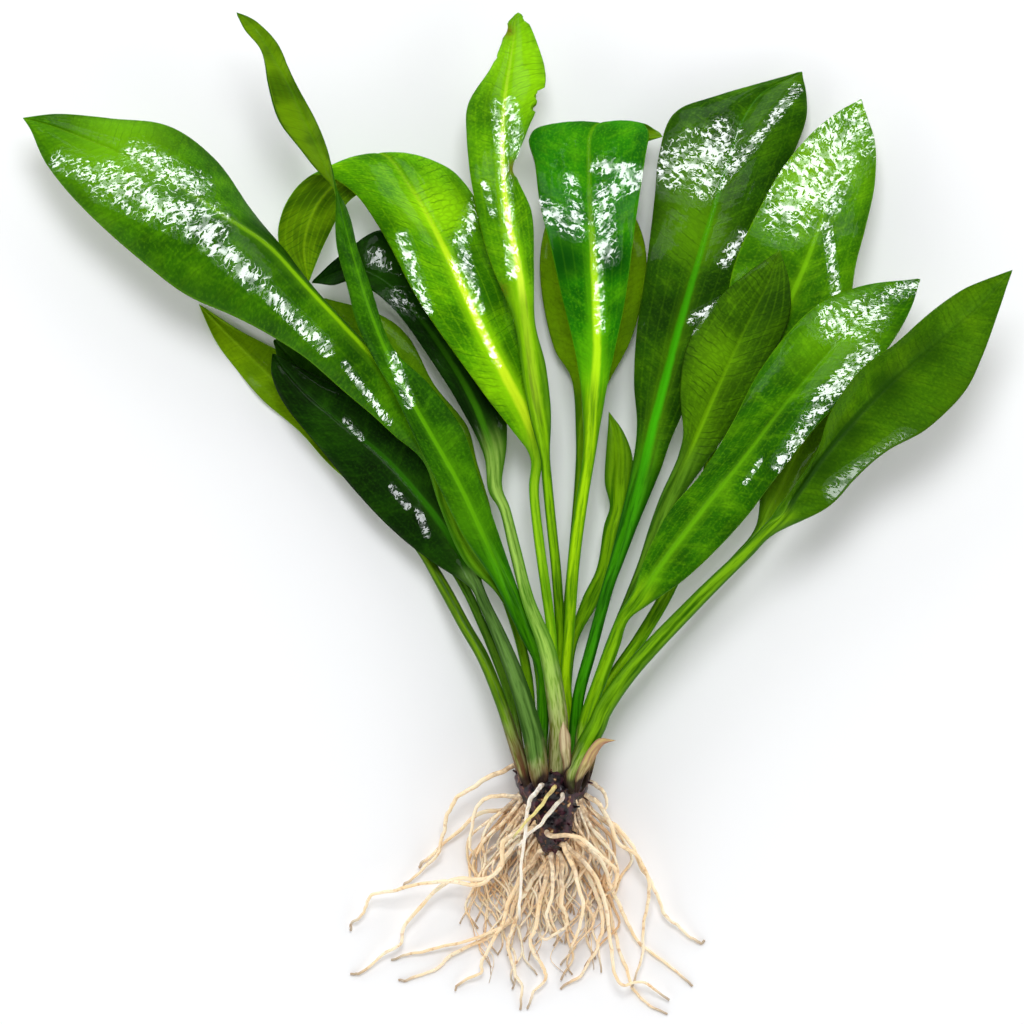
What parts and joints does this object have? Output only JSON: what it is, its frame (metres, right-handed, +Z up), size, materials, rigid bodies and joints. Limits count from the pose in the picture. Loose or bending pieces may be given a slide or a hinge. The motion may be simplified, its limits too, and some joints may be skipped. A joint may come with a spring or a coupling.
{
  "type": "amazon sword plant",
  "caption": "Bare-rooted aquatic sword plant laid flat: a fan of broad glossy lance-shaped leaves on long petioles, rising from a dark crown with trailing pale roots.",
  "frame": {"origin": "on the surface that the plant lies on, under the middle of its bounding box", "axes": "+Y from the roots to the leaf tips, +X to the right of the leaf fan as seen from above, +Z up from the surface"},
  "size_m": [0.3454, 0.3522, 0.046],
  "materials": {
    "leaf": "gloss",
    "dark_leaf": "gloss",
    "olive_leaf": "satin",
    "sheath": "matte",
    "crown": "matte",
    "root": "satin"
  },
  "bodies": {
    "root": {"leaf_long_left": "leaf", "leaf_twisted": "leaf", "leaf_arched": "leaf", "leaf_torn": "leaf", "leaf_centre": "leaf", "leaf_young": "leaf", "leaf_broad_right": "leaf", "leaf_pointed_right": "leaf", "leaf_glossy_right": "leaf", "leaf_dark_left": "dark_leaf", "leaf_narrow_left": "dark_leaf", "leaf_shaded": "dark_leaf", "leaf_dark_right": "dark_leaf", "leaf_back_left": "olive_leaf", "leaf_yellow_back": "olive_leaf", "leaf_olive_back": "olive_leaf", "leaf_hidden_right": "olive_leaf", "leaf_far_right": "olive_leaf", "sheath_front": "sheath", "sheath_right": "sheath", "crown": "crown", "root_upper_left": "root", "root_left_hook": "root", "root_left_slant": "root", "root_far_left_upper": "root", "root_far_left_lower": "root", "root_left_low_a": "root", "root_left_low_b": "root", "root_low_left": "root", "root_low_centre_a": "root", "root_low_centre_b": "root", "root_loop": "root", "root_low_right": "root", "root_short_right": "root", "root_right_a": "root", "root_right_b": "root", "root_right_c": "root", "root_right_d": "root", "root_right_e": "root", "root_front_white": "root", "root_front_yellow": "root", "root_front_short": "root", "root_front_right": "root", "root_middle_a": "root", "root_middle_b": "root"}
  },
  "joints": []
}
